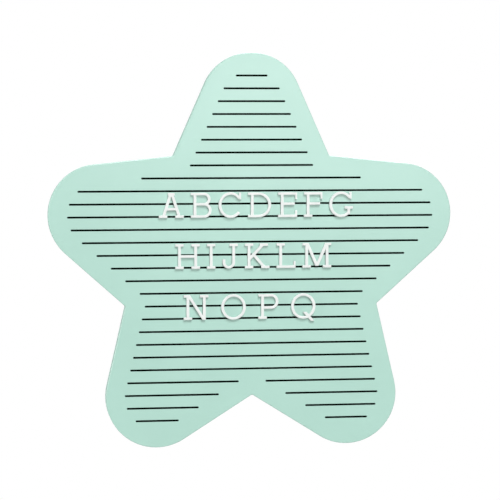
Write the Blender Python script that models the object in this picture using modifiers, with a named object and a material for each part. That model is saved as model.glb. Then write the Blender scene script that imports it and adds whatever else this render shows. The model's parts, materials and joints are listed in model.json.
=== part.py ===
# Star letter board: a painted star face with rows of narrow slots, glued to a backing star that
# shows black through them, with slab-serif plastic characters pegged into the slots and a
# sawtooth hanger in a pocket at the back.
# Metres, +Z up. The face looks along -Y, and the back lies in the plane Y = 0.

import math

import bmesh
import bpy
from mathutils import Vector
from mathutils.geometry import delaunay_2d_cdt

MM = 0.001

# Star outline: five round tips about one centre, the two legs a little longer than the rest
TIP_COUNT = 5
ARM_REACH = 119.7 * MM
LEG_REACH = 122.3 * MM
TIP_RADIUS = 37.9 * MM
VALLEY_REACH = 99.8 * MM
BOTTOM_VALLEY_REACH = 98.4 * MM
VALLEY_FILLET = 1.5 * MM
TIP_FACETS = 28
FILLET_FACETS = 4

# The two boards, and the glue line between them
FACE_THICKNESS = 3.2 * MM
BACKING_THICKNESS = 6.0 * MM
GLUE_GAP = 0.3 * MM
EDGE_RADIUS = 0.7 * MM
EDGE_FACETS = 3

# Slots: equal rows down the face, ending at a margin that follows the outline
SLOT_PITCH = 9.525 * MM
SLOT_WIDTH = 1.45 * MM
SLOT_MARGIN = 14.0 * MM
TOP_EDGE_TO_SLOTS = 17.2 * MM
BOTTOM_EDGE_TO_SLOTS = 15.0 * MM
SLOT_END_FACETS = 5

# Characters
CHARACTER_HEIGHT = 18.6 * MM
CHARACTER_THICKNESS = 1.8 * MM
CHARACTER_EDGE = 0.4 * MM
CHARACTER_EDGE_FACETS = 2
ROUND_OVERSHOOT = 0.3 * MM
STROKE = 2.15 * MM
SERIF_LENGTH = 6.3 * MM
SERIF_THICKNESS = 1.9 * MM
BEAK_LENGTH = 5.2 * MM
BEAK_WIDTH = 1.8 * MM
BOWL_FACETS = 16
CLOSE_POINTS = 0.05 * MM
PEG_DEPTH = 2.4 * MM
PEG_SIDE_CLEARANCE = 0.25 * MM
PEG_END_SETBACK = 0.3 * MM
PEG_MIN_LENGTH = 1.2 * MM
PEG_ROOT = 0.6 * MM

# Each character's width over its serifs, and the radii and openings of the ones that turn
WIDTHS = {
    "A": 18.6 * MM, "B": 15.6 * MM, "C": 17.0 * MM, "D": 17.4 * MM, "E": 14.4 * MM, "F": 14.0 * MM,
    "G": 18.0 * MM, "H": 18.4 * MM, "I": SERIF_LENGTH, "J": 11.6 * MM, "K": 18.6 * MM, "L": 14.4 * MM,
    "M": 21.8 * MM, "N": 18.6 * MM, "O": 18.6 * MM, "P": 15.2 * MM, "Q": 18.6 * MM,
}
OPEN_RING_WIDTH = 18.2 * MM
OPEN_FROM_DEGREES = 34
C_OPEN_TO_DEGREES = 322
G_OPEN_TO_DEGREES = 318
B_UPPER_RADIUS = 4.9 * MM
B_LOWER_RADIUS = 5.6 * MM
D_RADIUS = 9.4 * MM
P_RADIUS = 5.2 * MM

# What rests on something else stands off it by this much
SEAT_GAP = 0.3 * MM

# Rows of characters: the slots they sit in, the space between them and how far off centre they are
BASELINE_BELOW_SLOT = 0.8 * MM
SLOTS_ABOVE_FIRST_BASELINE = 11
SLOTS_BETWEEN_ROWS = 4
ROWS = (
    {"letters": "ABCDEFG", "gap": 5.2 * MM, "shift": 3.3 * MM},
    {"letters": "HIJKLM", "gap": 5.3 * MM, "shift": 1.1 * MM},
    {"letters": "NOPQ", "gap": 9.5 * MM, "shift": -1.8 * MM},
)

# Hanger, its pocket and its brads
HANGER_BELOW_TOP_EDGE = 50.5 * MM
HANGER_LENGTH = 46.0 * MM
HANGER_HEIGHT = 9.0 * MM
HANGER_SHEET = 0.8 * MM
HANGER_RISE = 1.1 * MM
HANGER_TAB = 8.0 * MM
HANGER_RAMP = 2.5 * MM
TOOTH_PITCH = 3.0 * MM
TOOTH_DEPTH = 1.6 * MM
POCKET_SIDE_MARGIN = 3.0 * MM
POCKET_TOP_MARGIN = 2.5 * MM
POCKET_NAIL_ROOM = 8.0 * MM
POCKET_CORNER = 4.0 * MM
POCKET_RECESS = 0.3 * MM
BRAD_RADIUS = 0.6 * MM
BRAD_CLEARANCE = 0.3 * MM
BRAD_HEAD_RADIUS = 1.7 * MM
BRAD_HEAD_HEIGHT = 0.6 * MM
BOARD_UNDER_BRAD = 0.7 * MM
ROUND_FACETS = 16

# Places that follow from the sizes above, front to back along Y
BACK_Y = 0.0
BACKING_FRONT_Y = BACK_Y - BACKING_THICKNESS
FACE_BACK_Y = BACKING_FRONT_Y - GLUE_GAP
FACE_FRONT_Y = FACE_BACK_Y - FACE_THICKNESS
CHARACTER_BACK_Y = FACE_FRONT_Y - SEAT_GAP
CHARACTER_FRONT_Y = CHARACTER_BACK_Y - CHARACTER_THICKNESS
STAR_TOP_Z = ARM_REACH + TIP_RADIUS
STAR_BOTTOM_Z = -LEG_REACH * math.cos(math.pi / TIP_COUNT) - TIP_RADIUS
FIRST_SLOT_Z = STAR_TOP_Z - TOP_EDGE_TO_SLOTS
SLOT_FIELD = FIRST_SLOT_Z - STAR_BOTTOM_Z - BOTTOM_EDGE_TO_SLOTS
SLOT_COUNT = int(SLOT_FIELD / SLOT_PITCH) + 1
PEG_THICKNESS = SLOT_WIDTH - 2 * PEG_SIDE_CLEARANCE
HANGER_Z = STAR_TOP_Z - HANGER_BELOW_TOP_EDGE
POCKET_DEPTH = POCKET_RECESS + HANGER_SHEET + HANGER_RISE + SEAT_GAP
POCKET_FLOOR_Y = BACK_Y - POCKET_DEPTH
HANGER_UNDER_Y = POCKET_FLOOR_Y + SEAT_GAP
BRAD_GRIP = BACKING_THICKNESS - POCKET_DEPTH - BOARD_UNDER_BRAD
BRAD_X = (HANGER_LENGTH - HANGER_TAB) / 2


# Scene, collections and materials

def clear_scene():
    for obj in list(bpy.data.objects):
        bpy.data.objects.remove(obj, do_unlink=True)


def new_collection(name):
    collection = bpy.data.collections.new(name)
    bpy.context.scene.collection.children.link(collection)
    return collection


def new_material(name, color, roughness, metallic=0.0):
    material = bpy.data.materials.new(name)
    material.use_nodes = True
    shader = material.node_tree.nodes["Principled BSDF"]
    shader.inputs["Base Color"].default_value = (*color, 1.0)
    shader.inputs["Roughness"].default_value = roughness
    shader.inputs["Metallic"].default_value = metallic
    return material


# Plane geometry: outlines are lists of (x, z)

def polar(reach, angle):
    """A point at a clock angle, measured clockwise from the top of the star."""
    return Vector((reach * math.sin(angle), reach * math.cos(angle)))


def arc(centre, radius_x, radius_z, start, stop, facets):
    """Points of an elliptical arc, angles measured from +X towards +Z."""
    steps = [start + (stop - start) * i / facets for i in range(facets + 1)]
    return [centre + Vector((radius_x * math.cos(a), radius_z * math.sin(a))) for a in steps]


def direction_angle(vector):
    return math.atan2(vector.y, vector.x)


def edge_to_tip(valley, tip, side):
    """Outward unit normal of the straight edge from a valley to its tangent point on a tip."""
    to_tip = tip - valley
    lean = side * math.asin(TIP_RADIUS / to_tip.length)
    along = direction_angle(to_tip) + lean
    return Vector((math.cos(along + side * math.pi / 2), math.sin(along + side * math.pi / 2)))


def star_tips_and_valleys():
    """Tip centres and the valleys before them, clockwise from the top."""
    step = 2 * math.pi / TIP_COUNT
    tips, valleys = [], []
    for i in range(TIP_COUNT):
        leg = i in (TIP_COUNT // 2, TIP_COUNT // 2 + 1)
        tips.append(polar(LEG_REACH if leg else ARM_REACH, i * step))
        bottom = i == TIP_COUNT // 2 + 1
        valleys.append(polar(BOTTOM_VALLEY_REACH if bottom else VALLEY_REACH, (i - 0.5) * step))
    return tips, valleys


def shifted_corner(valley, normal_a, normal_b, inset):
    """Where two edges through a valley meet after both move inwards."""
    along_a = Vector((-normal_a.y, normal_a.x))
    along_b = Vector((-normal_b.y, normal_b.x))
    a = valley - normal_a * inset
    b = valley - normal_b * inset
    turn = along_a.x * along_b.y - along_a.y * along_b.x
    reach = ((b - a).x * along_b.y - (b - a).y * along_b.x) / turn
    return a + along_a * reach


def valley_points(corner, normal_a, normal_b, fillet):
    """A concave corner, rounded by an arc whose centre is outside the board."""
    if fillet <= 0:
        return [corner]
    outwards = (normal_a + normal_b).normalized()
    centre = corner + outwards * fillet / outwards.dot(normal_a)
    start = direction_angle(-normal_a)
    stop = direction_angle(-normal_b)
    turn = (stop - start + math.pi) % (2 * math.pi) - math.pi
    return arc(centre, fillet, fillet, start, start + turn, FILLET_FACETS)


def star_outline(inset=0.0, fillet=0.0):
    """The star's outline, clockwise, moved inwards by an inset with its corners kept."""
    tips, valleys = star_tips_and_valleys()
    leaving = [edge_to_tip(valleys[i], tips[i], 1) for i in range(TIP_COUNT)]
    arriving = [edge_to_tip(valleys[i], tips[i - 1], -1) for i in range(TIP_COUNT)]
    points = []
    for i in range(TIP_COUNT):
        corner = shifted_corner(valleys[i], arriving[i], leaving[i], inset)
        points += valley_points(corner, arriving[i], leaving[i], fillet)
        start = direction_angle(leaving[i])
        stop = direction_angle(arriving[(i + 1) % TIP_COUNT])
        sweep = (start - stop) % (2 * math.pi)
        radius = TIP_RADIUS - inset
        points += arc(tips[i], radius, radius, start, start - sweep, TIP_FACETS)
    return points


def closed_edges(points):
    return list(zip(points, points[1:] + points[:1]))


def spans_at(edges, z):
    """The stretches of x that lie inside an outline at a height."""
    crossings = []
    for a, b in edges:
        if (a.y > z) != (b.y > z):
            crossings.append(a.x + (b.x - a.x) * (z - a.y) / (b.y - a.y))
    crossings.sort()
    return list(zip(crossings[0::2], crossings[1::2]))


def band_spans(edges, z, height):
    """The stretches that stay inside an outline over a band of heights."""
    spans = []
    for low in spans_at(edges, z - height / 2):
        for high in spans_at(edges, z + height / 2):
            start, stop = max(low[0], high[0]), min(low[1], high[1])
            if stop > start:
                spans.append((start, stop))
    return spans


def stadium(x0, x1, z, width):
    """A slot's outline with round ends."""
    radius = width / 2
    right = arc(Vector((x1 - radius, z)), radius, radius, -math.pi / 2, math.pi / 2, SLOT_END_FACETS)
    left = arc(Vector((x0 + radius, z)), radius, radius, math.pi / 2, 1.5 * math.pi, SLOT_END_FACETS)
    return right + left


def rounded_rectangle(x0, z0, x1, z1, radius):
    points = []
    corners = ((x1, z0, -0.5), (x1, z1, 0.0), (x0, z1, 0.5), (x0, z0, 1.0))
    for x, z, quarter in corners:
        centre = Vector((x - radius if x == x1 else x + radius, z - radius if z == z1 else z + radius))
        points += arc(centre, radius, radius, quarter * math.pi, (quarter + 0.5) * math.pi, FILLET_FACETS)
    return points


# Solids

def new_piece(name, mesh, collection):
    piece = bpy.data.objects.new(name, mesh)
    collection.objects.link(piece)
    return piece


def finish_piece(piece, material):
    """Keeps a piece's evaluated shape as its mesh, smooth only round its curves."""
    bpy.context.view_layer.update()
    evaluated = piece.evaluated_get(bpy.context.evaluated_depsgraph_get())
    mesh = bpy.data.meshes.new_from_object(evaluated)
    mesh.name = piece.name
    piece.modifiers.clear()
    piece.data = mesh
    mesh.materials.clear()
    mesh.materials.append(material)
    mesh.shade_smooth()
    mesh.set_sharp_from_angle(angle=math.radians(20))


def plate_mesh(name, outlines, y_front, y_back):
    """Flat outlines in the XZ plane, filled and given a thickness, as one welded mesh."""
    curve = bpy.data.curves.new(name, "CURVE")
    curve.dimensions = "2D"
    curve.fill_mode = "BOTH"
    curve.extrude = (y_back - y_front) / 2
    for outline in outlines:
        spline = curve.splines.new("POLY")
        spline.points.add(len(outline) - 1)
        for point, place in zip(spline.points, outline):
            point.co = (place.x, place.y, 0.0, 1.0)
        spline.use_cyclic_u = True
    guide = bpy.data.objects.new(name + "_outline", curve)
    bpy.context.scene.collection.objects.link(guide)
    guide.rotation_euler.x = math.pi / 2
    guide.location.y = (y_front + y_back) / 2
    bpy.context.view_layer.update()
    evaluated = guide.evaluated_get(bpy.context.evaluated_depsgraph_get())
    mesh = bpy.data.meshes.new_from_object(evaluated)
    mesh.transform(guide.matrix_world)
    mesh.name = name
    bpy.data.objects.remove(guide)
    weld = bmesh.new()
    weld.from_mesh(mesh)
    bmesh.ops.remove_doubles(weld, verts=weld.verts, dist=0.001 * MM)
    bmesh.ops.recalc_face_normals(weld, faces=weld.faces)
    weld.to_mesh(mesh)
    weld.free()
    return mesh


def corners_of(faces):
    return {vert for face in faces for vert in face.verts}


def ease_region(work, faces, radius, steps, depth_sign):
    """Rounds the edges round a flat region: rings are inset in steps, then lowered to an arc."""
    rings = []
    for i in range(steps):
        here, there = (math.pi / 2 * k / steps for k in (i, i + 1))
        band = bmesh.ops.inset_region(work, faces=faces, use_even_offset=True,
                                      thickness=radius * (math.cos(here) - math.cos(there)))
        ring = corners_of(band["faces"]) - corners_of(faces)
        rings.append((list(ring), radius * (1 - math.sin(here))))
    for verts, depth in rings:
        bmesh.ops.translate(work, vec=(0, depth_sign * depth, 0), verts=verts)


def ease_board(mesh, y, depth_sign):
    """Rounds a board's edges where its walls meet the face that lies in one plane."""
    work = bmesh.new()
    work.from_mesh(mesh)
    faces = [face for face in work.faces if all(abs(v.co.y - y) < 0.01 * MM for v in face.verts)]
    whole = bmesh.ops.dissolve_faces(work, faces=faces)["region"]
    ease_region(work, whole, EDGE_RADIUS, EDGE_FACETS, depth_sign)
    work.to_mesh(mesh)
    work.free()


def box_into(work, low, high):
    centre = (Vector(low) + Vector(high)) / 2
    size = Vector(high) - Vector(low)
    made = bmesh.ops.create_cube(work, size=1.0)
    bmesh.ops.scale(work, vec=size, verts=made["verts"])
    bmesh.ops.translate(work, vec=centre, verts=made["verts"])


def boolean(target, other, operation):
    modifier = target.modifiers.new(operation.lower() + "_" + other.name, "BOOLEAN")
    modifier.object = other
    modifier.operation = operation
    modifier.solver = "EXACT"


def hidden_tool(name, mesh, collection):
    tool = bpy.data.objects.new(name, mesh)
    collection.objects.link(tool)
    tool.hide_render = True
    tool.display_type = "WIRE"
    return tool


# The boards

def slot_row_z(index):
    return FIRST_SLOT_Z - index * SLOT_PITCH


def slot_outlines():
    edges = closed_edges(star_outline(inset=SLOT_MARGIN))
    outlines = []
    for row in range(SLOT_COUNT):
        z = slot_row_z(row)
        for x0, x1 in spans_at(edges, z):
            if x1 - x0 > 2 * SLOT_WIDTH:
                outlines.append(stadium(x0, x1, z, SLOT_WIDTH))
    return outlines


def build_face_panel(parts, tools, paint):
    mesh = plate_mesh("face_panel", [star_outline(fillet=VALLEY_FILLET)], FACE_FRONT_Y, FACE_BACK_Y)
    ease_board(mesh, FACE_FRONT_Y, 1)
    panel = new_piece("face_panel", mesh, parts)
    overshoot = FACE_THICKNESS
    slots = plate_mesh("slots", slot_outlines(), FACE_FRONT_Y - overshoot, FACE_BACK_Y + overshoot)
    boolean(panel, hidden_tool("slots", slots, tools), "DIFFERENCE")
    finish_piece(panel, paint)


def build_backing_panel(parts, tools, board):
    mesh = plate_mesh("backing_panel", [star_outline(fillet=VALLEY_FILLET)], BACKING_FRONT_Y, BACK_Y)
    ease_board(mesh, BACK_Y, -1)
    panel = new_piece("backing_panel", mesh, parts)
    half = HANGER_LENGTH / 2 + POCKET_SIDE_MARGIN
    low = HANGER_Z - HANGER_HEIGHT / 2 - POCKET_NAIL_ROOM
    high = HANGER_Z + HANGER_HEIGHT / 2 + POCKET_TOP_MARGIN
    outline = rounded_rectangle(-half, low, half, high, POCKET_CORNER)
    pocket = plate_mesh("pocket", [outline], POCKET_FLOOR_Y, BACK_Y + POCKET_DEPTH)
    boolean(panel, hidden_tool("pocket", pocket, tools), "DIFFERENCE")
    holes = bmesh.new()
    for side in (-1, 1):
        add_round(holes, Vector((side * BRAD_X, HANGER_Z)), BRAD_RADIUS + BRAD_CLEARANCE,
                  POCKET_FLOOR_Y - BRAD_GRIP - SEAT_GAP, POCKET_FLOOR_Y + SEAT_GAP)
    hole_mesh = bpy.data.meshes.new("brad_holes")
    holes.to_mesh(hole_mesh)
    holes.free()
    boolean(panel, hidden_tool("brad_holes", hole_mesh, tools), "DIFFERENCE")
    finish_piece(panel, board)


# The characters: strokes are outlines in a character's own plane, from its left end and baseline

def bar(x0, z0, x1, z1):
    return [Vector((x0, z0)), Vector((x1, z0)), Vector((x1, z1)), Vector((x0, z1))]


def slant(foot_x, foot_z, head_x, head_z, plumb_foot=False):
    """A sloping stroke as wide as the others across its length, cut level at its ends.
    A plumb foot is cut upright instead, where it joins a stem."""
    run, rise = head_x - foot_x, head_z - foot_z
    level = Vector((STROKE * math.hypot(run, rise) / rise / 2, 0.0))
    foot_point, head_point = Vector((foot_x, foot_z)), Vector((head_x, head_z))
    foot_cut = level
    if plumb_foot:
        foot_cut = Vector((0.0, -level.x * rise / run))
    return [foot_point - foot_cut, foot_point + foot_cut, head_point + level, head_point - level]


def bowl(centre_x, centre_z, radius_x, radius_z, start, stop):
    """Part of a ring. Its sides are as wide as a stem and its top and foot as a serif."""
    centre = Vector((centre_x, centre_z))
    facets = max(2, round(BOWL_FACETS * abs(stop - start) / 180))
    a, b = math.radians(start), math.radians(stop)
    outer = arc(centre, radius_x, radius_z, a, b, facets)
    inner = arc(centre, radius_x - STROKE, radius_z - SERIF_THICKNESS, a, b, facets)
    return outer + inner[::-1]


def upright(x, z0=0.0, z1=CHARACTER_HEIGHT):
    return bar(x - STROKE / 2, z0, x + STROKE / 2, z1)


def foot(x, length=SERIF_LENGTH):
    return bar(x - length / 2, 0.0, x + length / 2, SERIF_THICKNESS)


def head(x, length=SERIF_LENGTH):
    return bar(x - length / 2, CHARACTER_HEIGHT - SERIF_THICKNESS, x + length / 2, CHARACTER_HEIGHT)


def beak_down(x):
    """The short drop at the end of an upper arm, narrower at its tip."""
    tip, taper = CHARACTER_HEIGHT - BEAK_LENGTH, BEAK_WIDTH / 4
    return [Vector((x - BEAK_WIDTH + taper, tip)), Vector((x, tip)),
            Vector((x, CHARACTER_HEIGHT)), Vector((x - BEAK_WIDTH, CHARACTER_HEIGHT))]


def beak_up(x):
    taper = BEAK_WIDTH / 4
    return [Vector((x - BEAK_WIDTH, 0.0)), Vector((x, 0.0)),
            Vector((x, BEAK_LENGTH)), Vector((x - BEAK_WIDTH + taper, BEAK_LENGTH))]


def round_ring(width, start=0.0, stop=360.0):
    """A whole or open round letter, a hair taller than the straight ones."""
    middle = CHARACTER_HEIGHT / 2
    radius_z = middle + ROUND_OVERSHOOT
    half = (start + stop) / 2
    radius_x = width / 2
    return [bowl(radius_x, middle, radius_x, radius_z, start, half),
            bowl(radius_x, middle, radius_x, radius_z, half, stop)]


LEFT_STEM = SERIF_LENGTH / 2
TOP = CHARACTER_HEIGHT
LOWER_EDGE = CHARACTER_HEIGHT - SERIF_THICKNESS
WAIST = 0.54 * CHARACTER_HEIGHT


def letter_a(width):
    left, right, apex = LEFT_STEM, width - LEFT_STEM, width / 2
    cross = 0.30 * TOP
    lean = STROKE / 8
    inset = (apex - lean - left) * cross / TOP
    return [slant(left, 0, apex - lean, TOP), slant(right, 0, apex + lean, TOP),
            foot(left), foot(right), head(apex, SERIF_LENGTH * 0.8),
            bar(left + inset, cross, right - inset, cross + SERIF_THICKNESS)]


def double_bowl(width, upper_radius, lower_radius):
    upper_z = (TOP - WAIST + SERIF_THICKNESS / 2) / 2
    lower_z = (WAIST + SERIF_THICKNESS / 2) / 2
    upper_x = width - upper_radius - STROKE / 3
    lower_x = width - lower_radius
    return [bowl(upper_x, TOP - upper_z, upper_radius, upper_z, -90, 90),
            bowl(lower_x, lower_z, lower_radius, lower_z, -90, 90),
            bar(0, LOWER_EDGE, upper_x, TOP), bar(0, 0, lower_x, SERIF_THICKNESS),
            bar(LEFT_STEM, WAIST - SERIF_THICKNESS / 2, upper_x, WAIST + SERIF_THICKNESS / 2)]


def letter_b(width):
    return [upright(LEFT_STEM)] + double_bowl(width, B_UPPER_RADIUS, B_LOWER_RADIUS)


def letter_c(width):
    return round_ring(OPEN_RING_WIDTH, OPEN_FROM_DEGREES, C_OPEN_TO_DEGREES) + [beak_down(width)]


def letter_d(width):
    turn = width - D_RADIUS
    return [upright(LEFT_STEM), bowl(turn, TOP / 2, D_RADIUS, TOP / 2, -90, 90),
            bar(0, LOWER_EDGE, turn, TOP), bar(0, 0, turn, SERIF_THICKNESS)]


def arms(width, waist_width):
    return [bar(0, LOWER_EDGE, width, TOP), beak_down(width),
            bar(LEFT_STEM, WAIST - SERIF_THICKNESS / 2, waist_width, WAIST + SERIF_THICKNESS / 2)]


def letter_e(width):
    return [upright(LEFT_STEM), bar(0, 0, width, SERIF_THICKNESS), beak_up(width)] + arms(
        width, width - BEAK_WIDTH)


def letter_f(width):
    return [upright(LEFT_STEM), foot(LEFT_STEM)] + arms(width, width - BEAK_WIDTH)


def letter_g(width):
    shelf = 0.42 * TOP
    spur = width - SERIF_LENGTH / 2
    return round_ring(OPEN_RING_WIDTH, OPEN_FROM_DEGREES, G_OPEN_TO_DEGREES) + [
        beak_down(WIDTHS["C"]), upright(spur, 0.1 * TOP, shelf),
        bar(spur - SERIF_LENGTH / 2, shelf - SERIF_THICKNESS, spur + SERIF_LENGTH / 2, shelf)]


def letter_h(width):
    right = width - LEFT_STEM
    middle = TOP / 2
    return [upright(LEFT_STEM), foot(LEFT_STEM), head(LEFT_STEM), upright(right), foot(right), head(right),
            bar(LEFT_STEM, middle - SERIF_THICKNESS / 2, right, middle + SERIF_THICKNESS / 2)]


def letter_i(width):
    return [upright(width / 2), foot(width / 2, width), head(width / 2, width)]


def letter_j(width):
    stem = width - LEFT_STEM
    radius = (stem + STROKE / 2) / 2
    return [upright(stem, radius, TOP), head(stem), bowl(radius, radius, radius, radius, 180, 360),
            bar(0, radius - STROKE / 4, STROKE, radius + STROKE)]


def letter_k(width):
    right = width - LEFT_STEM
    joint = 0.36 * TOP
    arm_end = right - STROKE / 2
    fork = 0.3
    fork_x = LEFT_STEM + (arm_end - LEFT_STEM) * fork
    fork_z = joint + (TOP - joint) * fork
    return [upright(LEFT_STEM), foot(LEFT_STEM), head(LEFT_STEM),
            slant(LEFT_STEM, joint, arm_end, TOP, plumb_foot=True), head(arm_end),
            slant(right, 0, fork_x, fork_z), foot(right)]


def letter_l(width):
    return [upright(LEFT_STEM), head(LEFT_STEM), bar(0, 0, width, SERIF_THICKNESS), beak_up(width)]


def letter_m(width):
    right = width - LEFT_STEM
    dip = 0.07 * TOP
    return [upright(LEFT_STEM), foot(LEFT_STEM), upright(right), foot(right),
            bar(0, LOWER_EDGE, LEFT_STEM + STROKE / 2, TOP), bar(right - STROKE / 2, LOWER_EDGE, width, TOP),
            slant(width / 2, dip, LEFT_STEM + STROKE / 8, TOP),
            slant(width / 2, dip, right - STROKE / 8, TOP)]


def letter_n(width):
    right = width - LEFT_STEM
    return [upright(LEFT_STEM), foot(LEFT_STEM), upright(right), head(right),
            bar(0, LOWER_EDGE, LEFT_STEM + STROKE / 2, TOP),
            slant(right - STROKE / 8, 0, LEFT_STEM + STROKE / 8, TOP)]


def letter_o(width):
    return round_ring(width)


def letter_p(width):
    waist = 0.46 * TOP
    radius_z = (TOP - waist + SERIF_THICKNESS / 2) / 2
    turn = width - P_RADIUS
    return [upright(LEFT_STEM), foot(LEFT_STEM), bar(0, LOWER_EDGE, turn, TOP),
            bowl(turn, TOP - radius_z, P_RADIUS, radius_z, -90, 90),
            bar(LEFT_STEM, waist - SERIF_THICKNESS / 2, turn, waist + SERIF_THICKNESS / 2)]


def letter_q(width):
    drop = SERIF_THICKNESS
    return round_ring(width) + [slant(width * 0.88, -drop, width * 0.56, 0.26 * TOP)]


LETTERS = {
    "A": letter_a, "B": letter_b, "C": letter_c, "D": letter_d, "E": letter_e, "F": letter_f,
    "G": letter_g, "H": letter_h, "I": letter_i, "J": letter_j, "K": letter_k, "L": letter_l,
    "M": letter_m, "N": letter_n, "O": letter_o, "P": letter_p, "Q": letter_q,
}


def united_strokes(strokes):
    """The strokes of one character as a flat mesh in the XZ plane, without overlaps."""
    points, faces = [], []
    for stroke in strokes:
        faces.append(list(range(len(points), len(points) + len(stroke))))
        points += stroke
    cells = 1
    corners, _, triangles, _, _, sources = delaunay_2d_cdt(points, [], faces, cells, 0.001 * MM)
    flat = bmesh.new()
    verts = [flat.verts.new((corner.x, CHARACTER_FRONT_Y, corner.y)) for corner in corners]
    for triangle, source in zip(triangles, sources):
        if source:
            flat.faces.new([verts[i] for i in triangle])
    bmesh.ops.delete(flat, geom=[v for v in flat.verts if not v.link_faces], context="VERTS")
    bmesh.ops.remove_doubles(flat, verts=flat.verts, dist=CLOSE_POINTS)
    bmesh.ops.dissolve_limit(flat, angle_limit=math.radians(1), use_dissolve_boundaries=False,
                             verts=flat.verts, edges=flat.edges)
    return flat


def boundary_edges(flat):
    edges = [edge for edge in flat.edges if len(edge.link_faces) == 1]
    return [tuple(Vector((v.co.x, v.co.z)) for v in edge.verts) for edge in edges]


def character_mesh(name, strokes):
    """A character's body with eased front edges, and the outline its pegs stay behind."""
    body = united_strokes(strokes)
    outline = boundary_edges(body)
    front = body.faces[:]
    grown = bmesh.ops.extrude_face_region(body, geom=front)
    moved = [item for item in grown["geom"] if isinstance(item, bmesh.types.BMVert)]
    bmesh.ops.translate(body, vec=(0, CHARACTER_THICKNESS, 0), verts=moved)
    ease_region(body, front, CHARACTER_EDGE, CHARACTER_EDGE_FACETS, 1)
    bmesh.ops.recalc_face_normals(body, faces=body.faces)
    mesh = bpy.data.meshes.new(name)
    body.to_mesh(mesh)
    body.free()
    return mesh, outline


def peg_mesh(name, outline):
    """Thin blades behind the strokes, at the slot under the baseline and the one above it."""
    work = bmesh.new()
    for height in (BASELINE_BELOW_SLOT, BASELINE_BELOW_SLOT + SLOT_PITCH):
        for start, stop in band_spans(outline, height, PEG_THICKNESS):
            x0, x1 = start + PEG_END_SETBACK, stop - PEG_END_SETBACK
            if x1 - x0 > PEG_MIN_LENGTH:
                box_into(work, (x0, CHARACTER_BACK_Y - PEG_ROOT, height - PEG_THICKNESS / 2),
                         (x1, CHARACTER_BACK_Y + SEAT_GAP + PEG_DEPTH, height + PEG_THICKNESS / 2))
    mesh = bpy.data.meshes.new(name)
    work.to_mesh(mesh)
    work.free()
    return mesh


def build_character(letter, strokes, x, z, parts, tools, plastic):
    name = "character_" + letter.lower()
    mesh, outline = character_mesh(name, strokes)
    place = Vector((x, 0.0, z))
    character = new_piece(name, mesh, parts)
    character.location = place
    pegs = hidden_tool(name + "_pegs", peg_mesh(name + "_pegs", outline), tools)
    pegs.location = place
    boolean(character, pegs, "UNION")
    finish_piece(character, plastic)


def build_characters(parts, tools, plastic):
    for index, row in enumerate(ROWS):
        baseline_slot = SLOTS_ABOVE_FIRST_BASELINE + index * SLOTS_BETWEEN_ROWS
        z = slot_row_z(baseline_slot) - BASELINE_BELOW_SLOT
        length = sum(WIDTHS[letter] for letter in row["letters"]) + row["gap"] * (len(row["letters"]) - 1)
        x = row["shift"] - length / 2
        for letter in row["letters"]:
            strokes = LETTERS[letter](WIDTHS[letter])
            build_character(letter, strokes, x, z, parts, tools, plastic)
            x += WIDTHS[letter] + row["gap"]


# The hanger and its brads

def add_round(work, centre, radius, y0, y1):
    made = bmesh.ops.create_cone(work, cap_ends=True, segments=ROUND_FACETS, radius1=radius,
                                 radius2=radius, depth=y1 - y0)
    for vert in made["verts"]:
        x, y, z = vert.co
        vert.co = (centre.x + x, (y0 + y1) / 2 + z, centre.y - y)


def build_hanger(parts, tools, steel):
    """A strip with flat ends and a raised middle, toothed along its lower edge."""
    half = HANGER_LENGTH / 2
    bend = half - HANGER_TAB
    flat_half = bend - HANGER_RAMP
    profile = ((-half, 0.0), (-bend, 0.0), (-flat_half, HANGER_RISE), (flat_half, HANGER_RISE),
               (bend, 0.0), (half, 0.0))
    sheet = bmesh.new()
    rows = []
    for z in (-HANGER_HEIGHT / 2, HANGER_HEIGHT / 2):
        rows.append([sheet.verts.new((x, HANGER_UNDER_Y + rise, HANGER_Z + z)) for x, rise in profile])
    for i in range(len(profile) - 1):
        sheet.faces.new((rows[0][i + 1], rows[0][i], rows[1][i], rows[1][i + 1]))
    mesh = bpy.data.meshes.new("sawtooth_hanger")
    sheet.to_mesh(mesh)
    sheet.free()
    hanger = new_piece("sawtooth_hanger", mesh, parts)
    solid = hanger.modifiers.new("sheet", "SOLIDIFY")
    solid.thickness = HANGER_SHEET
    solid.offset = 1.0
    solid.use_even_offset = True
    teeth_mesh = plate_mesh("teeth", tooth_gaps(flat_half), POCKET_FLOOR_Y, BACK_Y + HANGER_SHEET)
    boolean(hanger, hidden_tool("teeth", teeth_mesh, tools), "DIFFERENCE")
    holes = bmesh.new()
    for side in (-1, 1):
        add_round(holes, Vector((side * BRAD_X, HANGER_Z)), BRAD_RADIUS + BRAD_CLEARANCE,
                  POCKET_FLOOR_Y, BACK_Y)
    hole_mesh = bpy.data.meshes.new("tab_holes")
    holes.to_mesh(hole_mesh)
    holes.free()
    boolean(hanger, hidden_tool("tab_holes", hole_mesh, tools), "DIFFERENCE")
    finish_piece(hanger, steel)


def tooth_gaps(reach):
    """V notches side by side, one of them on the centre line."""
    notches = int((reach - TOOTH_PITCH / 2) / TOOTH_PITCH)
    edge = HANGER_Z - HANGER_HEIGHT / 2
    land = 0.2 * TOOTH_PITCH
    outlines = []
    for i in range(-notches, notches + 1):
        x = i * TOOTH_PITCH
        half = (TOOTH_PITCH - land) / 2
        below = edge - TOOTH_DEPTH
        outlines.append([Vector((x - 2 * half, below)), Vector((x + 2 * half, below)),
                         Vector((x, edge + TOOTH_DEPTH))])
    return outlines


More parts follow.
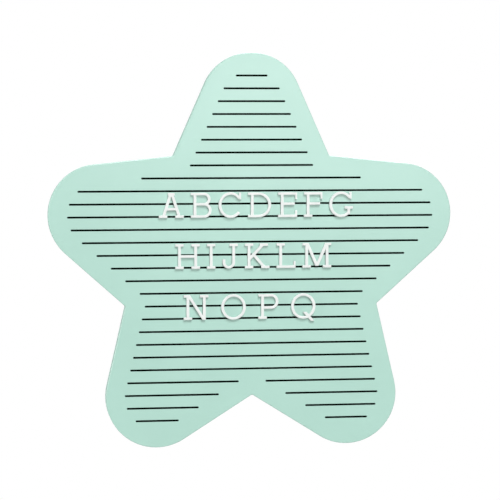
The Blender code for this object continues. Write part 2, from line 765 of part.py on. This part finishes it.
def build_brad(name, x, parts, steel):
    """A turned brad: a shank, and a low domed head on the hanger's tab."""
    seat = HANGER_SHEET + 2 * SEAT_GAP
    dome_steps = 4
    profile = [(0.0, seat + BRAD_HEAD_HEIGHT)]
    for i in range(1, dome_steps + 1):
        turn = math.pi / 2 * i / dome_steps
        profile.append((BRAD_HEAD_RADIUS * math.sin(turn), seat + BRAD_HEAD_HEIGHT * math.cos(turn)))
    point = BRAD_RADIUS
    profile += [(BRAD_RADIUS, seat), (BRAD_RADIUS, point - BRAD_GRIP), (0.0, -BRAD_GRIP)]
    mesh = bpy.data.meshes.new(name)
    mesh.from_pydata([(r, 0.0, height) for r, height in profile],
                     [(i, i + 1) for i in range(len(profile) - 1)], [])
    brad = new_piece(name, mesh, parts)
    screw = brad.modifiers.new("turned", "SCREW")
    screw.steps = ROUND_FACETS
    screw.render_steps = ROUND_FACETS
    screw.use_merge_vertices = True
    screw.merge_threshold = 0.001 * MM
    screw.use_smooth_shade = True
    brad.rotation_euler.x = -math.pi / 2
    brad.location = (x, POCKET_FLOOR_Y, HANGER_Z)
    finish_piece(brad, steel)


def main():
    clear_scene()
    parts = new_collection("star_letter_board")
    tools = new_collection("cutters")
    paint = new_material("mint_paint", (0.52, 0.77, 0.67), 0.5)
    dark_board = new_material("black_faced_board", (0.01, 0.012, 0.011), 0.7)
    plastic = new_material("white_plastic", (0.9, 0.91, 0.9), 0.35)
    steel = new_material("zinc_plated_steel", (0.62, 0.62, 0.6), 0.35, 1.0)
    build_face_panel(parts, tools, paint)
    build_backing_panel(parts, tools, dark_board)
    build_characters(parts, tools, plastic)
    build_hanger(parts, tools, steel)
    build_brad("hanger_nail_left", -BRAD_X, parts, steel)
    build_brad("hanger_nail_right", BRAD_X, parts, steel)


main()
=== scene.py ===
import json
import math

import bpy
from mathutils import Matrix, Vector


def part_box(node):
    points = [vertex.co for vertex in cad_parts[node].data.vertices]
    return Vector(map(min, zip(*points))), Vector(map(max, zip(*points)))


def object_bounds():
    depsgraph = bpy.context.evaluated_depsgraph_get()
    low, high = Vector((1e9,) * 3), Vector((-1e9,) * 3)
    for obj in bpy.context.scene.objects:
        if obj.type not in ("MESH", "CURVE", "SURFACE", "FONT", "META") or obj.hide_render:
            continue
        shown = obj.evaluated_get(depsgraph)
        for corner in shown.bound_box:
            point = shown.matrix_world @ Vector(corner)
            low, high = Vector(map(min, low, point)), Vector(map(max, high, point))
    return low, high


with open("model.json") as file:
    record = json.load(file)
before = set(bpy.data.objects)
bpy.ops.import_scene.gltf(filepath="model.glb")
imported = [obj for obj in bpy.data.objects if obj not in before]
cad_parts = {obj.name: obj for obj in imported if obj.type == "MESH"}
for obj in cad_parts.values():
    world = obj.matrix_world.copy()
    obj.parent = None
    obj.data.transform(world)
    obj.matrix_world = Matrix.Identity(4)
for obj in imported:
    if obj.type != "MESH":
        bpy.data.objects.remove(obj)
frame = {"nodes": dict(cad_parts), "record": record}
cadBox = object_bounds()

nodes = frame["nodes"]
print("frame loaded with", len(nodes), "pieces")

mm = 0.001


# Helpers for materials

def toLinear(hexColour):
    # sRGB hex to the linear RGBA that the shaders work in
    channels = [int(hexColour[i:i + 2], 16) / 255 for i in (1, 3, 5)]
    return [c / 12.92 if c <= 0.04045 else ((c + 0.055) / 1.055) ** 2.4 for c in channels] + [1.0]


def addNode(tree, kind, inputs=None, **settings):
    # inputs maps a socket's name or number to a value, an output, or a node whose first output feeds it
    node = tree.nodes.new(kind)
    for name, value in settings.items():
        setattr(node, name, value)
    for socket, value in (inputs or {}).items():
        if isinstance(value, bpy.types.Node):
            value = value.outputs[0]
        if isinstance(value, bpy.types.NodeSocket):
            tree.links.new(value, node.inputs[socket])
        else:
            node.inputs[socket].default_value = value
    return node


def newMaterial(name, shaderInputs):
    # an empty tree with one Principled shader on its output
    material = bpy.data.materials.new(name)
    material.use_nodes = True
    tree = material.node_tree
    tree.nodes.clear()
    shader = addNode(tree, "ShaderNodeBsdfPrincipled", shaderInputs)
    addNode(tree, "ShaderNodeOutputMaterial", {"Surface": shader})
    return material, tree, shader


def feedShader(tree, shader, colour, roughness, height):
    # what varies over the surface: height is in metres
    tree.links.new(colour, shader.inputs["Base Color"])
    tree.links.new(roughness, shader.inputs["Roughness"])
    bump = addNode(tree, "ShaderNodeBump", {"Height": height, "Distance": 1.0})
    tree.links.new(bump.outputs["Normal"], shader.inputs["Normal"])


def perSize(sizeMm):
    # scale of a pattern whose features are this many millimetres across
    return 1 / (sizeMm * mm)


def facing(tree):
    # a point's place on its piece, how far it looks to the wall behind, and how far it looks front or back
    place = addNode(tree, "ShaderNodeTexCoord").outputs["Object"]
    normal = addNode(tree, "ShaderNodeNewGeometry").outputs["Normal"]
    towardsWall = addNode(tree, "ShaderNodeSeparateXYZ", {0: normal}).outputs["Y"]
    outward = addNode(tree, "ShaderNodeMath", {0: towardsWall}, operation="ABSOLUTE")
    return place, towardsWall, outward


# A noise's values crowd round a half, so these spans of it are stretched over a whole mix

wideSpan = {"From Min": 0.3, "From Max": 0.7}
evenSpan = {"From Min": 0.35, "From Max": 0.65}
crispSpan = {"From Min": 0.4, "From Max": 0.6}


# The star folded onto one half of one arm, so that one test tells slot walls from the outer wall

starFold = {
    "arms": 5,
    "armReach": 119.7,      # mm from the centre to the centre of a round tip
    "tipRadius": 37.9,      # mm
    "edgeNormal": 62.3,     # degrees between an arm's axis and the normal of its straight edge
    "rimBand": 7.0,         # mm inside the outline that hold no slots
}


def insideRim(tree, place):
    # 1 where the face has its slots, 0 in the band along the outline
    edgeNormal = math.radians(starFold["edgeNormal"])
    insideTip = starFold["tipRadius"] - starFold["rimBand"]
    edgeReach = starFold["armReach"] * math.cos(edgeNormal) + insideTip
    tipReach = starFold["armReach"] + insideTip
    axes = addNode(tree, "ShaderNodeSeparateXYZ", {0: place}).outputs
    clock = addNode(tree, "ShaderNodeMath", {0: axes["X"], 1: axes["Z"]}, operation="ARCTAN2")
    folded = addNode(tree, "ShaderNodeMath", {0: clock, 1: math.pi / starFold["arms"]}, operation="PINGPONG")
    inPlane = addNode(tree, "ShaderNodeCombineXYZ", {"X": axes["X"], "Z": axes["Z"]})
    reach = addNode(tree, "ShaderNodeVectorMath", {0: inPlane}, operation="LENGTH").outputs["Value"]
    fromNormal = addNode(tree, "ShaderNodeMath", {0: folded, 1: edgeNormal}, operation="SUBTRACT")
    edgeShare = addNode(tree, "ShaderNodeMath", {0: fromNormal}, operation="COSINE")
    tipShare = addNode(tree, "ShaderNodeMath", {0: folded}, operation="COSINE")
    towardsEdge = addNode(tree, "ShaderNodeMath", {0: reach, 1: edgeShare}, operation="MULTIPLY")
    towardsTip = addNode(tree, "ShaderNodeMath", {0: reach, 1: tipShare}, operation="MULTIPLY")
    clearOfEdge = addNode(tree, "ShaderNodeMath", {0: towardsEdge, 1: edgeReach * mm},
                          operation="LESS_THAN")
    clearOfTip = addNode(tree, "ShaderNodeMath", {0: towardsTip, 1: tipReach * mm},
                         operation="LESS_THAN")
    return addNode(tree, "ShaderNodeMath", {0: clearOfEdge, 1: clearOfTip}, operation="MULTIPLY")


# Painted fibreboard: satin water-based lacquer sprayed on MDF, so an even, softly shining coat with a
# faint orange peel, duller where the routed edge drinks it. Below the coat's lip the slot walls are
# near-black: partly the dark cut wall, partly painted shade deep in the narrow slots

satinLacquer = {
    "mint": "#A8D0C3",
    "mintShade": "#A5CDC0",     # the faint clouds of a sprayed coat
    "edgeMint": "#A4CCBF",
    # near-black slot walls: partly the dark cut wall, partly painted shade deep in the narrow slots
    "slotWallBlackAndShade": "#06140D",
    "cloudMm": 45,
    "orangePeelMm": 2.4,        # about 1 mm on the real coat, drawn coarser so that it shows
    "orangePeelHeightMm": 0.018,
    "edgeFibreMm": 0.9,
    "edgeFibreHeightMm": 0.03,
    "roughness": 0.4,
    "edgeRoughness": 0.55,
    "roughnessPatch": 0.03,     # how far the coat's shine wanders to either side
    "flatShare": 0.9,           # a surface that looks outward more than this is a flat
    "wallShare": 0.3,           # and one that looks outward less than this is the routed wall
    "uprightShare": 0.5,        # a slot's side looks outward less than this
    "slotLipMm": 0.25,          # how far the coat wraps into a slot
    "slotFadeMm": 0.1,          # over which it thins out there
}


def lacquerNodes(tree, place, outward):
    # colour, roughness and height of the lacquer, with outward from 0 on walls to 1 on flats
    wall = addNode(tree, "ShaderNodeMapRange", {"Value": outward, "From Min": satinLacquer["flatShare"],
                                                "From Max": satinLacquer["wallShare"]})
    cloudNoise = addNode(tree, "ShaderNodeTexNoise",
                         {"Vector": place, "Scale": perSize(satinLacquer["cloudMm"]), "Detail": 2.0})
    clouds = addNode(tree, "ShaderNodeMapRange", {"Value": cloudNoise, **evenSpan})
    flat = addNode(tree, "ShaderNodeMix", {0: clouds, 6: toLinear(satinLacquer["mint"]),
                                           7: toLinear(satinLacquer["mintShade"])}, data_type="RGBA")
    colour = addNode(tree, "ShaderNodeMix", {0: wall, 6: flat.outputs[2],
                                             7: toLinear(satinLacquer["edgeMint"])}, data_type="RGBA")
    peel = addNode(tree, "ShaderNodeTexNoise",
                   {"Vector": place, "Scale": perSize(satinLacquer["orangePeelMm"]), "Detail": 1.0})
    fibre = addNode(tree, "ShaderNodeTexNoise",
                    {"Vector": place, "Scale": perSize(satinLacquer["edgeFibreMm"]), "Detail": 3.0})
    wallFibre = addNode(tree, "ShaderNodeMath", {0: fibre, 1: wall}, operation="MULTIPLY")
    raised = addNode(tree, "ShaderNodeMath",
                     {0: wallFibre, 1: satinLacquer["edgeFibreHeightMm"] * mm}, operation="MULTIPLY")
    height = addNode(tree, "ShaderNodeMath",
                     {0: peel, 1: satinLacquer["orangePeelHeightMm"] * mm, 2: raised},
                     operation="MULTIPLY_ADD")
    evenness = addNode(tree, "ShaderNodeMapRange", {"Value": wall, "To Min": satinLacquer["roughness"],
                                                   "To Max": satinLacquer["edgeRoughness"]})
    patches = addNode(tree, "ShaderNodeMapRange", {"Value": peel, **wideSpan,
                                                  "To Min": -satinLacquer["roughnessPatch"],
                                                  "To Max": satinLacquer["roughnessPatch"]})
    roughness = addNode(tree, "ShaderNodeMath", {0: evenness, 1: patches}, operation="ADD")
    return colour.outputs[2], roughness.outputs[0], height.outputs[0]


def makeSatinLacquer():
    # the coat is the clear resin that rises over the pigment and gives the soft sheen
    material, tree, shader = newMaterial("satinLacquerOnFibreboard", {
        "IOR": 1.47, "Coat Weight": 1.0, "Coat Roughness": 0.26, "Coat IOR": 1.5})
    place, _, outward = facing(tree)
    colour, roughness, height = lacquerNodes(tree, place, outward)
    # below the lip the slot walls take the near-black: partly their dark cut wall, partly painted shade of
    # the deep narrow slots
    depth = addNode(tree, "ShaderNodeSeparateXYZ", {0: place}).outputs["Y"]
    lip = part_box("face_panel")[0].y + satinLacquer["slotLipMm"] * mm
    belowLip = addNode(tree, "ShaderNodeMapRange",
                       {"Value": depth, "From Min": lip - satinLacquer["slotFadeMm"] * mm, "From Max": lip})
    upright = addNode(tree, "ShaderNodeMath", {0: outward, 1: satinLacquer["uprightShare"]},
                      operation="LESS_THAN")
    deepWall = addNode(tree, "ShaderNodeMath", {0: upright, 1: belowLip}, operation="MULTIPLY")
    slotWall = addNode(tree, "ShaderNodeMath", {0: insideRim(tree, place), 1: deepWall},
                       operation="MULTIPLY")
    shown = addNode(tree, "ShaderNodeMix", {0: slotWall, 6: colour, 7: toLinear(satinLacquer["slotWallBlackAndShade"])},
                    data_type="RGBA")
    feedShader(tree, shader, shown.outputs[2], roughness, height)
    return material


# The backing: the same board, rolled matt black where the slots show it, lacquered round its edge and
# left bare behind, where MDF shows short pale and dark fibres and faint sanding lines

backingBoard = {
    "black": "#06140D",
    "blackRoughness": 0.95,
    "fibreLight": "#C2A27C",
    "fibreDark": "#A5845F",
    "fleck": "#7C5C3E",
    "fibreMm": 1.6,             # fibre bundles, drawn a little coarse so that they show
    "fibreRun": 1.6,            # and this many times longer than wide
    "fleckMm": 5.0,             # from one cluster of dark fibres to the next
    "fleckSpan": {"From Min": 0.56, "From Max": 0.72},
    "fleckShare": 0.55,         # how much of its own colour a fleck has
    "sandingMm": 0.5,           # finer on the real board, drawn coarser so that it shows
    "sandingRun": 60,           # sanding lines are this many times longer than wide
    "sandingShare": 0.5,        # their depth beside that of the fibres
    "fibreHeightMm": 0.02,
    "bareRoughness": 0.8,
    "frontShare": -0.5,         # what looks away from the wall more than this is the black front
    "coatLimit": 0.8,           # how far round the eased back edge the lacquer reaches
    "coatFade": 0.08,           # and over what share it thins out
    "coatRaggedness": 0.1,      # how far the overspray wanders to either side of its limit
    "pocketMarginMm": 5.0,      # round the hanger, the routed pocket's walls are bare as well
    "pocketBelowMm": 12.0,      # more below it, where the nail goes in
}


def makeBackingBoard():
    # porous board and matt black scatter most of their shine, so the specular level is low
    material, tree, shader = newMaterial("fibreboardWithBlackFront", {
        "IOR": 1.47, "Specular IOR Level": 0.15})
    place, towardsWall, outward = facing(tree)
    colour, roughness, height = lacquerNodes(tree, place, outward)

    # bare fibreboard
    alongX = addNode(tree, "ShaderNodeMapping",
                     {"Vector": place, "Scale": (1 / backingBoard["fibreRun"], 1.0, 1.0)})
    fibre = addNode(tree, "ShaderNodeTexNoise",
                    {"Vector": alongX, "Scale": perSize(backingBoard["fibreMm"]), "Detail": 4.0})
    fleck = addNode(tree, "ShaderNodeTexNoise",
                    {"Vector": place, "Scale": perSize(backingBoard["fleckMm"]), "Detail": 5.0})
    sanded = addNode(tree, "ShaderNodeMapping",
                     {"Vector": place, "Scale": (1 / backingBoard["sandingRun"], 1.0, 1.0)})
    sanding = addNode(tree, "ShaderNodeTexNoise",
                      {"Vector": sanded, "Scale": perSize(backingBoard["sandingMm"]), "Detail": 2.0})
    fibreShare = addNode(tree, "ShaderNodeMapRange", {"Value": fibre, **evenSpan})
    fibres = addNode(tree, "ShaderNodeMix", {0: fibreShare, 6: toLinear(backingBoard["fibreLight"]),
                                             7: toLinear(backingBoard["fibreDark"])}, data_type="RGBA")
    fleckShare = addNode(tree, "ShaderNodeMapRange", {"Value": fleck, **backingBoard["fleckSpan"],
                                                     "To Max": backingBoard["fleckShare"]})
    bare = addNode(tree, "ShaderNodeMix", {0: fleckShare, 6: fibres.outputs[2],
                                           7: toLinear(backingBoard["fleck"])}, data_type="RGBA")
    grain = addNode(tree, "ShaderNodeMath", {0: sanding, 1: backingBoard["sandingShare"], 2: fibre},
                    operation="MULTIPLY_ADD")
    bareHeight = addNode(tree, "ShaderNodeMath", {0: grain, 1: backingBoard["fibreHeightMm"] * mm},
                         operation="MULTIPLY")

    # bare on the back, up to a ragged limit of overspray, and inside the pocket
    raggedness = addNode(tree, "ShaderNodeMapRange", {"Value": fibre, **wideSpan,
                                                     "To Min": -backingBoard["coatRaggedness"],
                                                     "To Max": backingBoard["coatRaggedness"]})
    overspray = addNode(tree, "ShaderNodeMath", {0: towardsWall, 1: raggedness}, operation="ADD")
    coatEnd = backingBoard["coatLimit"] + backingBoard["coatFade"]
    behind = addNode(tree, "ShaderNodeMapRange",
                     {"Value": overspray, "From Min": backingBoard["coatLimit"], "From Max": coatEnd})
    hangerLow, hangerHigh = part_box("sawtooth_hanger")
    margin = backingBoard["pocketMarginMm"] * mm
    pocketLow = hangerLow - Vector((margin, margin, backingBoard["pocketBelowMm"] * mm))
    pocketHigh = hangerHigh + Vector((margin, margin, margin))
    middle, half = (pocketLow + pocketHigh) / 2, (pocketHigh - pocketLow) / 2
    fromMiddle = addNode(tree, "ShaderNodeVectorMath", {0: place, 1: middle}, operation="SUBTRACT")
    apart = addNode(tree, "ShaderNodeVectorMath", {0: fromMiddle}, operation="ABSOLUTE")
    share = addNode(tree, "ShaderNodeVectorMath", {0: apart, 1: half}, operation="DIVIDE")
    shares = addNode(tree, "ShaderNodeSeparateXYZ", {0: share}).outputs
    widest = addNode(tree, "ShaderNodeMath", {0: shares["X"], 1: shares["Z"]}, operation="MAXIMUM")
    inPocket = addNode(tree, "ShaderNodeMath", {0: widest, 1: 1.0}, operation="LESS_THAN")
    isBare = addNode(tree, "ShaderNodeMath", {0: behind, 1: inPocket}, operation="MAXIMUM")

    # black in front, and lacquered all round
    isBlack = addNode(tree, "ShaderNodeMath", {0: towardsWall, 1: backingBoard["frontShare"]},
                      operation="LESS_THAN")
    side = addNode(tree, "ShaderNodeMix", {0: isBare, 6: colour, 7: bare.outputs[2]}, data_type="RGBA")
    shown = addNode(tree, "ShaderNodeMix", {0: isBlack, 6: side.outputs[2],
                                            7: toLinear(backingBoard["black"])}, data_type="RGBA")
    sideRoughness = addNode(tree, "ShaderNodeMix", {0: isBare, 2: roughness,
                                                    3: backingBoard["bareRoughness"]})
    shownRoughness = addNode(tree, "ShaderNodeMix", {0: isBlack, 2: sideRoughness,
                                                     3: backingBoard["blackRoughness"]})
    shownHeight = addNode(tree, "ShaderNodeMix", {0: isBare, 2: height, 3: bareHeight})
    feedShader(tree, shader, shown.outputs[2], shownRoughness.outputs[0], shownHeight.outputs[0])
    return material


# Characters: injection-moulded white polystyrene, evenly matt, with the soft waviness of a thin
# moulding and a fine spark-eroded grain

whitePolystyrene = {
    "white": "#E6E9E7",
    "flowWhite": "#E1E5E3",     # faint flow marks
    "flowMm": 6,
    "flowRun": 3,               # flow marks are this many times taller than wide
    "grainMm": 0.35,            # about 0.1 mm on the real mould, drawn coarser so that it shows
    "grainHeightMm": 0.004,
    "waveMm": 5,
    "waveHeightMm": 0.01,
    "roughness": 0.4,
    "roughnessPatch": 0.05,
}


def makeWhitePolystyrene():
    material, tree, shader = newMaterial("mouldedWhitePolystyrene", {"IOR": 1.59})
    place = addNode(tree, "ShaderNodeTexCoord").outputs["Object"]
    tall = addNode(tree, "ShaderNodeMapping",
                   {"Vector": place, "Scale": (1.0, 1.0, 1 / whitePolystyrene["flowRun"])})
    flow = addNode(tree, "ShaderNodeTexNoise",
                   {"Vector": tall, "Scale": perSize(whitePolystyrene["flowMm"]), "Detail": 2.0})
    grain = addNode(tree, "ShaderNodeTexNoise",
                    {"Vector": place, "Scale": perSize(whitePolystyrene["grainMm"]), "Detail": 1.0})
    wave = addNode(tree, "ShaderNodeTexNoise",
                   {"Vector": place, "Scale": perSize(whitePolystyrene["waveMm"]), "Detail": 0.0})
    flowShare = addNode(tree, "ShaderNodeMapRange", {"Value": flow, **crispSpan})
    colour = addNode(tree, "ShaderNodeMix", {0: flowShare, 6: toLinear(whitePolystyrene["white"]),
                                             7: toLinear(whitePolystyrene["flowWhite"])}, data_type="RGBA")
    even, patch = whitePolystyrene["roughness"], whitePolystyrene["roughnessPatch"]
    roughness = addNode(tree, "ShaderNodeMapRange",
                        {"Value": grain, **wideSpan, "To Min": even - patch, "To Max": even + patch})
    waves = addNode(tree, "ShaderNodeMath", {0: wave, 1: whitePolystyrene["waveHeightMm"] * mm},
                    operation="MULTIPLY")
    height = addNode(tree, "ShaderNodeMath",
                     {0: grain, 1: whitePolystyrene["grainHeightMm"] * mm, 2: waves},
                     operation="MULTIPLY_ADD")
    feedShader(tree, shader, colour.outputs[2], roughness.outputs[0], height.outputs[0])
    return material


# Hanger and brads: cold-rolled steel strip, bright zinc plated, so a grey metal with a faint blue and
# straw cast and fine rolling lines along its length

zincPlate = {
    "blue": "#C4C9CD",
    "straw": "#CFCBBC",
    "castMm": 9,
    "lineMm": 0.25,             # finer on the real strip, drawn coarser so that it shows
    "lineRun": 100,             # rolling lines are this many times longer than wide
    "lineHeightMm": 0.002,
    "roughnessLow": 0.25,
    "roughnessHigh": 0.43,
}


def makeZincPlate():
    material, tree, shader = newMaterial("brightZincPlatedSteel", {"Metallic": 1.0})
    place = addNode(tree, "ShaderNodeTexCoord").outputs["Object"]
    rolled = addNode(tree, "ShaderNodeMapping",
                     {"Vector": place, "Scale": (1 / zincPlate["lineRun"], 1.0, 1.0)})
    lines = addNode(tree, "ShaderNodeTexNoise",
                    {"Vector": rolled, "Scale": perSize(zincPlate["lineMm"]), "Detail": 2.0})
    cast = addNode(tree, "ShaderNodeTexNoise",
                   {"Vector": place, "Scale": perSize(zincPlate["castMm"]), "Detail": 2.0})
    castShare = addNode(tree, "ShaderNodeMapRange", {"Value": cast, **evenSpan})
    colour = addNode(tree, "ShaderNodeMix", {0: castShare, 6: toLinear(zincPlate["blue"]),
                                             7: toLinear(zincPlate["straw"])}, data_type="RGBA")
    roughness = addNode(tree, "ShaderNodeMapRange", {"Value": lines, **wideSpan,
                                                    "To Min": zincPlate["roughnessLow"],
                                                    "To Max": zincPlate["roughnessHigh"]})
    height = addNode(tree, "ShaderNodeMath", {0: lines, 1: zincPlate["lineHeightMm"] * mm},
                     operation="MULTIPLY")
    feedShader(tree, shader, colour.outputs[2], roughness.outputs[0], height.outputs[0])
    return material


finishes = {
    "painted_board": makeSatinLacquer(),
    "backing_board": makeBackingBoard(),
    "white_plastic": makeWhitePolystyrene(),
    "plated_steel": makeZincPlate(),
}
print("materials made:", ", ".join(material.name for material in finishes.values()))


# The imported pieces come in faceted. Their points are joined, their curves and eased edges shaded smooth,
# and the flats that face front or back keep one even normal

curveShading = {
    "mergeMm": 0.002,
    "sharpDegrees": 50,     # edges steeper than this stay crisp
    "flatShare": 0.9999,    # a face that looks this squarely to the front or back is a flat
    "easedShare": 0.3,      # a face beside a flat that looks this far its way belongs to an eased edge
    "touchShare": 0.01,     # a point has a flat beside it once the mean over its faces is above this
}


def makeCurveShading():
    group = bpy.data.node_groups.new("smoothCurves", "GeometryNodeTree")
    group.interface.new_socket("Geometry", in_out="INPUT", socket_type="NodeSocketGeometry")
    group.interface.new_socket("Geometry", in_out="OUTPUT", socket_type="NodeSocketGeometry")
    piece = addNode(group, "NodeGroupInput")
    unnamed = addNode(group, "GeometryNodeRemoveAttribute", {"Geometry": piece, "Name": "custom_normal"})
    welded = addNode(group, "GeometryNodeMergeByDistance",
                     {"Geometry": unnamed, "Distance": curveShading["mergeMm"] * mm})
    smooth = addNode(group, "GeometryNodeSetShadeSmooth",
                     {"Geometry": welded, "Shade Smooth": True}, domain="FACE")
    bend = addNode(group, "GeometryNodeInputMeshEdgeAngle").outputs["Unsigned Angle"]
    gentle = addNode(group, "FunctionNodeCompare", {0: bend, 1: math.radians(curveShading["sharpDegrees"])},
                     data_type="FLOAT", operation="LESS_THAN")
    crisp = addNode(group, "GeometryNodeSetShadeSmooth", {"Geometry": smooth, "Shade Smooth": gentle},
                    domain="EDGE")

    normal = addNode(group, "GeometryNodeInputNormal")
    ofFace = addNode(group, "GeometryNodeFieldOnDomain", {0: normal},
                     data_type="FLOAT_VECTOR", domain="FACE")
    frontBack = addNode(group, "ShaderNodeSeparateXYZ", {0: ofFace}).outputs["Y"]
    squareness = addNode(group, "ShaderNodeMath", {0: frontBack}, operation="ABSOLUTE")
    isFlat = addNode(group, "ShaderNodeMath", {0: squareness, 1: curveShading["flatShare"]},
                     operation="GREATER_THAN")
    flatFace = addNode(group, "GeometryNodeFieldOnDomain", {0: isFlat}, data_type="FLOAT", domain="FACE")
    touching = addNode(group, "GeometryNodeFieldOnDomain", {0: flatFace}, data_type="FLOAT", domain="POINT")
    touchesFlat = addNode(group, "ShaderNodeMath", {0: touching, 1: curveShading["touchShare"]},
                          operation="GREATER_THAN")
    isEased = addNode(group, "ShaderNodeMath", {0: squareness, 1: curveShading["easedShare"]},
                      operation="GREATER_THAN")
    levelled = addNode(group, "ShaderNodeMath", {0: touchesFlat, 1: isEased}, operation="MULTIPLY")
    way = addNode(group, "ShaderNodeMath", {0: frontBack}, operation="SIGN")
    squarely = addNode(group, "ShaderNodeCombineXYZ", {"Y": way})
    chosen = addNode(group, "ShaderNodeMix", {0: levelled, 4: normal, 5: squarely}, data_type="VECTOR")
    even = addNode(group, "GeometryNodeSetMeshNormal",
                   {"Mesh": crisp, "Custom Normal": chosen.outputs[1]}, mode="FREE", domain="CORNER")
    addNode(group, "NodeGroupOutput", {0: even})
    return group


smoothCurves = makeCurveShading()
slotOf = {row["node"]: row["material_slot"] for row in frame["record"]["subparts"]}
for name, node in nodes.items():
    node.material_slots[0].link = "OBJECT"
    node.material_slots[0].material = finishes[slotOf[name]]
    shading = node.modifiers.new("curves", "NODES")
    shading.node_group = smoothCurves
print("pieces dressed and smoothed")


# Studio: a pale floor, a white surround, a tall softbox high on the right, a low strip for the sheen, a
# lamp beside the left wall and one behind for the back

studio = {
    "floorBelowMm": 330,
    "floorSideMm": 2000,
    "floorPale": "#E2E2E0",
    "floorGlow": 0.7,           # share of the floor that reads as white backdrop to the camera
    "fillLevel": 0.03,          # light from all round, beside that of the lamps
    "lamps": (                  # places and sizes in metres, power in watts, each turned to the star
        {"name": "tallSoftbox", "from": (0.40, -2.00, 2.05), "size": (0.8, 1.3), "power": 76.5},
        {"name": "sheenStrip", "from": (0.48, -2.35, 0.29), "size": (1.1, 0.5), "power": 8.6},
        {"name": "leftFill", "from": (-2.20, -0.30, 0.35), "size": (1.0, 1.0), "power": 24.0},
        {"name": "backSoftbox", "from": (0.40, 1.60, 1.70), "size": (1.2, 1.2), "power": 48.0},
    ),
}


def seenRay(tree):
    # 1 for what the camera sees straight on, mirrored or through something, 0 for light that is scattered
    path = addNode(tree, "ShaderNodeLightPath").outputs
    mirrored = addNode(tree, "ShaderNodeMath", {0: path["Is Glossy Ray"], 1: path["Is Transmission Ray"]},
                       operation="MAXIMUM")
    return addNode(tree, "ShaderNodeMath", {0: path["Is Camera Ray"], 1: mirrored}, operation="MAXIMUM")


def makeFloor():
    side = studio["floorSideMm"] * mm / 2
    height = cadBox[0].z - studio["floorBelowMm"] * mm
    corners = [(-side, -side, height), (side, -side, height), (side, side, height), (-side, side, height)]
    mesh = bpy.data.meshes.new("floor")
    mesh.from_pydata(corners, [], [(0, 1, 2, 3)])
    floor = bpy.data.objects.new("floor", mesh)
    bpy.context.scene.collection.objects.link(floor)
    material = bpy.data.materials.new("paleStudioFloor")
    material.use_nodes = True
    tree = material.node_tree
    tree.nodes.clear()
    share = addNode(tree, "ShaderNodeMath", {0: seenRay(tree), 1: studio["floorGlow"]},
                    operation="MULTIPLY")
    matt = addNode(tree, "ShaderNodeBsdfDiffuse", {"Color": toLinear(studio["floorPale"])})
    glow = addNode(tree, "ShaderNodeEmission", {"Strength": 1.0})
    mixed = addNode(tree, "ShaderNodeMixShader", {0: share, 1: matt, 2: glow})
    addNode(tree, "ShaderNodeOutputMaterial", {"Surface": mixed})
    mesh.materials.append(material)


def makeWorld():
    # white to the camera and in reflections, and a plain even fill for everything else
    world = bpy.data.worlds.new("whiteSurround")
    bpy.context.scene.world = world
    world.use_nodes = True
    tree = world.node_tree
    tree.nodes.clear()
    strength = addNode(tree, "ShaderNodeMapRange",
                       {"Value": seenRay(tree), "To Min": studio["fillLevel"], "To Max": 1.0})
    background = addNode(tree, "ShaderNodeBackground", {"Color": (1, 1, 1, 1), "Strength": strength})
    addNode(tree, "ShaderNodeOutputWorld", {"Surface": background})


def makeLamps():
    for lamp in studio["lamps"]:
        light = bpy.data.lights.new(lamp["name"], "AREA")
        light.shape = "RECTANGLE"
        light.size, light.size_y = lamp["size"]
        light.energy = lamp["power"]
        stand = bpy.data.objects.new(lamp["name"], light)
        bpy.context.scene.collection.objects.link(stand)
        stand.location = lamp["from"]
        stand.rotation_euler = (-Vector(lamp["from"])).to_track_quat("-Z", "Y").to_euler()


makeFloor()
makeWorld()
makeLamps()
print("studio ready")


# Camera where the photograph was taken from: a little to the left of the star and above its centre

photoCamera = {
    "location": (-0.20301, -1.49853, 0.10123),
    "turnDegrees": (86.540, 0.106, -7.715),
    "sensorMm": 36.0,
    "lensMm": 144.966,          # for a star about 1.5 m away
}

cameraData = bpy.data.cameras.new("photoCamera")
cameraData.sensor_width = photoCamera["sensorMm"]
cameraData.lens = photoCamera["lensMm"]
camera = bpy.data.objects.new("photoCamera", cameraData)
bpy.context.scene.collection.objects.link(camera)
camera.location = photoCamera["location"]
camera.rotation_euler = [math.radians(turn) for turn in photoCamera["turnDegrees"]]
bpy.context.scene.camera = camera
bpy.context.scene.view_settings.view_transform = "Standard"
print("camera placed")
